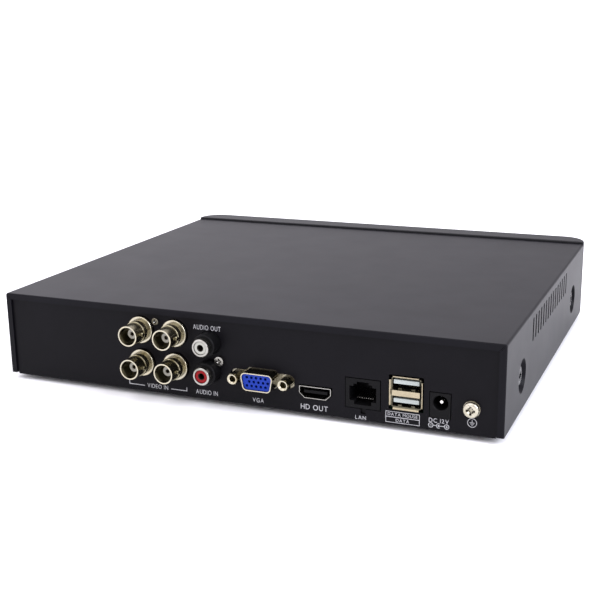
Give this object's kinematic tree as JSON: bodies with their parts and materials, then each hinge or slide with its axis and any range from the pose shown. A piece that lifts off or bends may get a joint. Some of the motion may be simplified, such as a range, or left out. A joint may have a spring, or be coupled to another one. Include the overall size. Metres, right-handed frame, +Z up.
{
  "type": "digital video recorder",
  "caption": "Flat black steel video recorder with bayonet video, audio, display, network, data and power sockets on its rear panel, side vents, a plastic bezel and a hard disk inside.",
  "frame": {"origin": "bottom centre of the whole recorder, on the plane of the feet", "axes": "+X to the right seen from the front, +Y towards the rear panel, +Z up"},
  "size_m": [0.25, 0.234, 0.0459],
  "materials": {
    "case_paint": "black semi-matt powder coat",
    "bezel_plastic": "black moulded plastic",
    "tinted_window": "dark tinted acrylic",
    "foot_rubber": "matt",
    "dark_screw": "blackened zinc",
    "bright_screw": "nickel plated",
    "nickel_shell": "nickel plate",
    "gold_contact": "gold flash",
    "black_plastic": "moulded",
    "white_plastic": "moulded",
    "red_plastic": "moulded",
    "blue_plastic": "moulded",
    "board_green": "solder mask over glass laminate",
    "chip_black": "moulded",
    "alloy": "satin",
    "steel_sheet": "brushed",
    "platter_mirror": "polished",
    "led_lens": "clear",
    "lead_jacket": "moulded jacket and plugs"
  },
  "bodies": {
    "case": {"base_tray": "case_paint", "bnc_contacts": "gold_contact", "bnc_housing": "black_plastic", "bnc_insulators": "white_plastic", "bnc_shells": "nickel_shell", "board_headers": "black_plastic", "board_screws": "bright_screw", "board_standoffs": "bright_screw", "buzzer": "black_plastic", "capacitors": "alloy", "cell_holder": "black_plastic", "coin_cell": "steel_sheet", "cover_screws": "dark_screw", "dc_jack_housing": "black_plastic", "dc_jack_pin": "nickel_shell", "disk_base": "alloy", "disk_board": "board_green", "disk_connector": "black_plastic", "disk_data_lead": "lead_jacket", "disk_lid": "steel_sheet", "disk_lid_screws": "bright_screw", "disk_mount_screws": "bright_screw", "disk_power_lead": "lead_jacket", "earth_nut": "bright_screw", "front_bezel": "bezel_plastic", "front_lead": "lead_jacket", "front_window": "tinted_window", "hd_video_shell": "nickel_shell", "hd_video_tongue": "black_plastic", "heatsink": "alloy", "inductors": "chip_black", "ir_receiver": "led_lens", "lan_contacts": "gold_contact", "lan_housing": "black_plastic", "led_board": "board_green", "magnet_yoke": "steel_sheet", "main_board": "board_green", "memory_chips": "chip_black", "panel_screws": "bright_screw", "processor": "chip_black", "rca_housing": "black_plastic", "rca_insert_red": "red_plastic", "rca_insert_white": "white_plastic", "rca_rings": "nickel_shell", "rubber_feet": "foot_rubber", "status_leds": "led_lens", "top_cover": "case_paint", "usb_contacts": "gold_contact", "usb_shell": "nickel_shell", "usb_tongues": "white_plastic", "vga_contacts": "gold_contact", "vga_insert": "blue_plastic", "vga_jackscrews": "bright_screw", "vga_shell": "nickel_shell"},
    "platter_stack": {"spindle_hub": "alloy", "platters": "platter_mirror", "platter_clamp": "alloy"},
    "head_carriage": {"head_arm": "alloy"},
    "earth_clamp": {"earth_washer": "bright_screw"},
    "earth_bolt": {"earth_screw": "bright_screw"}
  },
  "joints": [
    {"name": "platter_spin", "type": "hinge", "parent": "case", "child": "platter_stack", "pos_m": [0.0525, -0.0442, 0.018], "axis": [0, 0, 1], "continuous": true},
    {"name": "head_swing", "type": "hinge", "parent": "case", "child": "head_carriage", "pos_m": [-0.0015, -0.0642, 0.018], "axis": [0, 0, 1], "range_deg": [0, 28]},
    {"name": "earth_clamp_travel", "type": "slide", "parent": "case", "child": "earth_clamp", "axis": [0, 1, 0], "range_m": [0, 0.0035]},
    {"name": "earth_screw_turn", "type": "hinge", "parent": "earth_clamp", "child": "earth_bolt", "pos_m": [-0.1109, 0.1048, 0.0147], "axis": [0, 1, 0], "range_deg": [0, 1805]}
  ],
  "couplings": [
    {"joint": "earth_screw_turn", "follows": "earth_clamp_travel", "rad_per_m": 8976}
  ]
}
